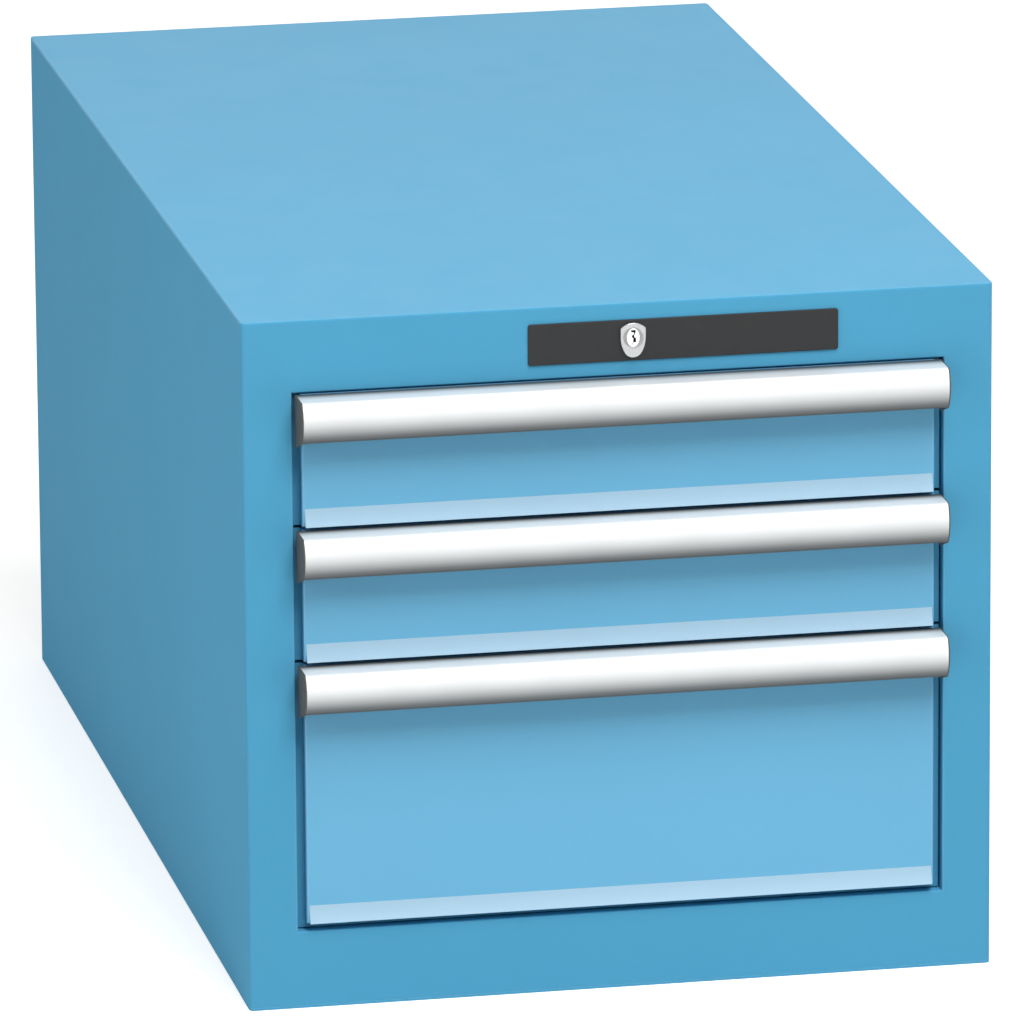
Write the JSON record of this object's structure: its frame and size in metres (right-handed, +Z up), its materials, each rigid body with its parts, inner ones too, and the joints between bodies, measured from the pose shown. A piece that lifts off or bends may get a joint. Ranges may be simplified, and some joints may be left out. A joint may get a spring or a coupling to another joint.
{
  "type": "modular drawer cabinet",
  "caption": "Free-standing sheet-steel modular drawer cabinet with full-extension roller-borne drawers, full-width grip handles and a central key lock.",
  "frame": {"origin": "centre of the base, on the face that stands on the floor", "axes": "+Z up, -Y out of the drawer fronts, +X to the right of someone facing the drawers"},
  "size_m": [0.411, 0.7481, 0.383],
  "materials": {
    "blue_powder_coat": "smooth satin powder coat on sheet steel",
    "grey_powder_coat": "fine matt powder coat on sheet steel",
    "zinc_plated_steel": "zinc-plated cold-rolled steel",
    "anodised_aluminium": "satin anodised extrusion",
    "dark_moulded_plastic": "moulded, fine eroded texture",
    "lock_plate_black": "moulded anthracite plate",
    "nickel_plate": "satin nickel plate on die-cast zinc",
    "polished_nickel": "polished nickel plate",
    "bright_fasteners": "bright zinc-plated fasteners",
    "roller_plastic": "natural acetal rollers"
  },
  "bodies": {
    "housing": {"back_panel": "blue_powder_coat", "bottom_panel": "blue_powder_coat", "cabinet_rail_1_left": "zinc_plated_steel", "cabinet_rail_1_right": "zinc_plated_steel", "cabinet_rail_2_left": "zinc_plated_steel", "cabinet_rail_2_right": "zinc_plated_steel", "cabinet_rail_3_left": "zinc_plated_steel", "cabinet_rail_3_right": "zinc_plated_steel", "front_bottom_rail": "blue_powder_coat", "front_top_rail": "blue_powder_coat", "left_front_upright": "zinc_plated_steel", "left_rear_upright": "zinc_plated_steel", "left_side_panel": "blue_powder_coat", "lock_cylinder": "nickel_plate", "lock_guide_studs": "bright_fasteners", "lock_plate": "lock_plate_black", "right_front_upright": "zinc_plated_steel", "right_rear_upright": "zinc_plated_steel", "right_side_panel": "blue_powder_coat", "top_panel": "blue_powder_coat"},
    "lock_plug": {"lock_plug": "polished_nickel", "lock_cam": "zinc_plated_steel"},
    "lock_slider": {"lock_slider": "zinc_plated_steel"},
    "locking_bar": {"locking_bar": "zinc_plated_steel"},
    "drawer_1": {"drawer_1_front": "blue_powder_coat", "drawer_1_handle": "anodised_aluminium", "drawer_1_handle_caps": "dark_moulded_plastic", "drawer_1_handle_screws": "bright_fasteners", "drawer_1_left_side": "grey_powder_coat", "drawer_1_right_side": "grey_powder_coat", "drawer_1_tray": "grey_powder_coat"},
    "drawer_1_carriages": {"drawer_1_left_carriage": "zinc_plated_steel", "drawer_1_right_carriage": "zinc_plated_steel"},
    "drawer_1_front_rollers": {"drawer_1_front_rollers": "roller_plastic"},
    "drawer_1_middle_rollers": {"drawer_1_middle_rollers": "roller_plastic"},
    "drawer_1_rear_rollers": {"drawer_1_rear_rollers": "roller_plastic"},
    "drawer_2": {"drawer_2_front": "blue_powder_coat", "drawer_2_handle": "anodised_aluminium", "drawer_2_handle_caps": "dark_moulded_plastic", "drawer_2_handle_screws": "bright_fasteners", "drawer_2_left_side": "grey_powder_coat", "drawer_2_right_side": "grey_powder_coat", "drawer_2_tray": "grey_powder_coat"},
    "drawer_2_carriages": {"drawer_2_left_carriage": "zinc_plated_steel", "drawer_2_right_carriage": "zinc_plated_steel"},
    "drawer_2_front_rollers": {"drawer_2_front_rollers": "roller_plastic"},
    "drawer_2_middle_rollers": {"drawer_2_middle_rollers": "roller_plastic"},
    "drawer_2_rear_rollers": {"drawer_2_rear_rollers": "roller_plastic"},
    "drawer_3": {"drawer_3_front": "blue_powder_coat", "drawer_3_handle": "anodised_aluminium", "drawer_3_handle_caps": "dark_moulded_plastic", "drawer_3_handle_screws": "bright_fasteners", "drawer_3_left_side": "grey_powder_coat", "drawer_3_right_side": "grey_powder_coat", "drawer_3_tray": "grey_powder_coat"},
    "drawer_3_carriages": {"drawer_3_left_carriage": "zinc_plated_steel", "drawer_3_right_carriage": "zinc_plated_steel"},
    "drawer_3_front_rollers": {"drawer_3_front_rollers": "roller_plastic"},
    "drawer_3_middle_rollers": {"drawer_3_middle_rollers": "roller_plastic"},
    "drawer_3_rear_rollers": {"drawer_3_rear_rollers": "roller_plastic"}
  },
  "joints": [
    {"name": "drawer_1_slide", "type": "slide", "parent": "housing", "child": "drawer_1", "axis": [0, -1, 0], "range_m": [0, 0.612]},
    {"name": "drawer_1_carriage_slide", "type": "slide", "parent": "housing", "child": "drawer_1_carriages", "axis": [0, -1, 0], "range_m": [0, 0.306]},
    {"name": "drawer_1_front_rollers_spin", "type": "hinge", "parent": "drawer_1_carriages", "child": "drawer_1_front_rollers", "pos_m": [0, -0.318, 0.2832], "axis": [1, 0, 0], "continuous": true},
    {"name": "drawer_1_middle_rollers_spin", "type": "hinge", "parent": "drawer_1_carriages", "child": "drawer_1_middle_rollers", "pos_m": [0, -0.012, 0.2832], "axis": [1, 0, 0], "continuous": true},
    {"name": "drawer_1_rear_rollers_spin", "type": "hinge", "parent": "drawer_1_carriages", "child": "drawer_1_rear_rollers", "pos_m": [0, 0.294, 0.2832], "axis": [1, 0, 0], "continuous": true},
    {"name": "drawer_2_slide", "type": "slide", "parent": "housing", "child": "drawer_2", "axis": [0, -1, 0], "range_m": [0, 0.612]},
    {"name": "drawer_2_carriage_slide", "type": "slide", "parent": "housing", "child": "drawer_2_carriages", "axis": [0, -1, 0], "range_m": [0, 0.306]},
    {"name": "drawer_2_front_rollers_spin", "type": "hinge", "parent": "drawer_2_carriages", "child": "drawer_2_front_rollers", "pos_m": [0, -0.318, 0.2082], "axis": [1, 0, 0], "continuous": true},
    {"name": "drawer_2_middle_rollers_spin", "type": "hinge", "parent": "drawer_2_carriages", "child": "drawer_2_middle_rollers", "pos_m": [0, -0.012, 0.2082], "axis": [1, 0, 0], "continuous": true},
    {"name": "drawer_2_rear_rollers_spin", "type": "hinge", "parent": "drawer_2_carriages", "child": "drawer_2_rear_rollers", "pos_m": [0, 0.294, 0.2082], "axis": [1, 0, 0], "continuous": true},
    {"name": "drawer_3_slide", "type": "slide", "parent": "housing", "child": "drawer_3", "axis": [0, -1, 0], "range_m": [0, 0.612]},
    {"name": "drawer_3_carriage_slide", "type": "slide", "parent": "housing", "child": "drawer_3_carriages", "axis": [0, -1, 0], "range_m": [0, 0.306]},
    {"name": "drawer_3_front_rollers_spin", "type": "hinge", "parent": "drawer_3_carriages", "child": "drawer_3_front_rollers", "pos_m": [0, -0.318, 0.0582], "axis": [1, 0, 0], "continuous": true},
    {"name": "drawer_3_middle_rollers_spin", "type": "hinge", "parent": "drawer_3_carriages", "child": "drawer_3_middle_rollers", "pos_m": [0, -0.012, 0.0582], "axis": [1, 0, 0], "continuous": true},
    {"name": "drawer_3_rear_rollers_spin", "type": "hinge", "parent": "drawer_3_carriages", "child": "drawer_3_rear_rollers", "pos_m": [0, 0.294, 0.0582], "axis": [1, 0, 0], "continuous": true},
    {"name": "locking_bar_slide", "type": "slide", "parent": "housing", "child": "locking_bar", "axis": [0, 0, -1], "range_m": [0, 0.01414]},
    {"name": "lock_turn", "type": "hinge", "parent": "housing", "child": "lock_plug", "pos_m": [0.0069, -0.3625, 0.3642], "axis": [0, 1, 0], "range_deg": [0, 90]},
    {"name": "lock_slider_slide", "type": "slide", "parent": "housing", "child": "lock_slider", "axis": [1, 0, 0], "range_m": [0, 0.01415]}
  ],
  "couplings": [
    {"joint": "drawer_1_carriage_slide", "follows": "drawer_1_slide", "ratio": 0.5},
    {"joint": "drawer_1_front_rollers_spin", "follows": "drawer_1_slide", "rad_per_m": 51.546},
    {"joint": "drawer_1_middle_rollers_spin", "follows": "drawer_1_slide", "rad_per_m": 51.546},
    {"joint": "drawer_1_rear_rollers_spin", "follows": "drawer_1_slide", "rad_per_m": 51.546},
    {"joint": "drawer_2_carriage_slide", "follows": "drawer_2_slide", "ratio": 0.5},
    {"joint": "drawer_2_front_rollers_spin", "follows": "drawer_2_slide", "rad_per_m": 51.546},
    {"joint": "drawer_2_middle_rollers_spin", "follows": "drawer_2_slide", "rad_per_m": 51.546},
    {"joint": "drawer_2_rear_rollers_spin", "follows": "drawer_2_slide", "rad_per_m": 51.546},
    {"joint": "drawer_3_carriage_slide", "follows": "drawer_3_slide", "ratio": 0.5},
    {"joint": "drawer_3_front_rollers_spin", "follows": "drawer_3_slide", "rad_per_m": 51.546},
    {"joint": "drawer_3_middle_rollers_spin", "follows": "drawer_3_slide", "rad_per_m": 51.546},
    {"joint": "drawer_3_rear_rollers_spin", "follows": "drawer_3_slide", "rad_per_m": 51.546},
    {"joint": "lock_turn", "follows": "locking_bar_slide", "rad_per_m": 111.07},
    {"joint": "lock_slider_slide", "follows": "locking_bar_slide", "ratio": 1}
  ]
}
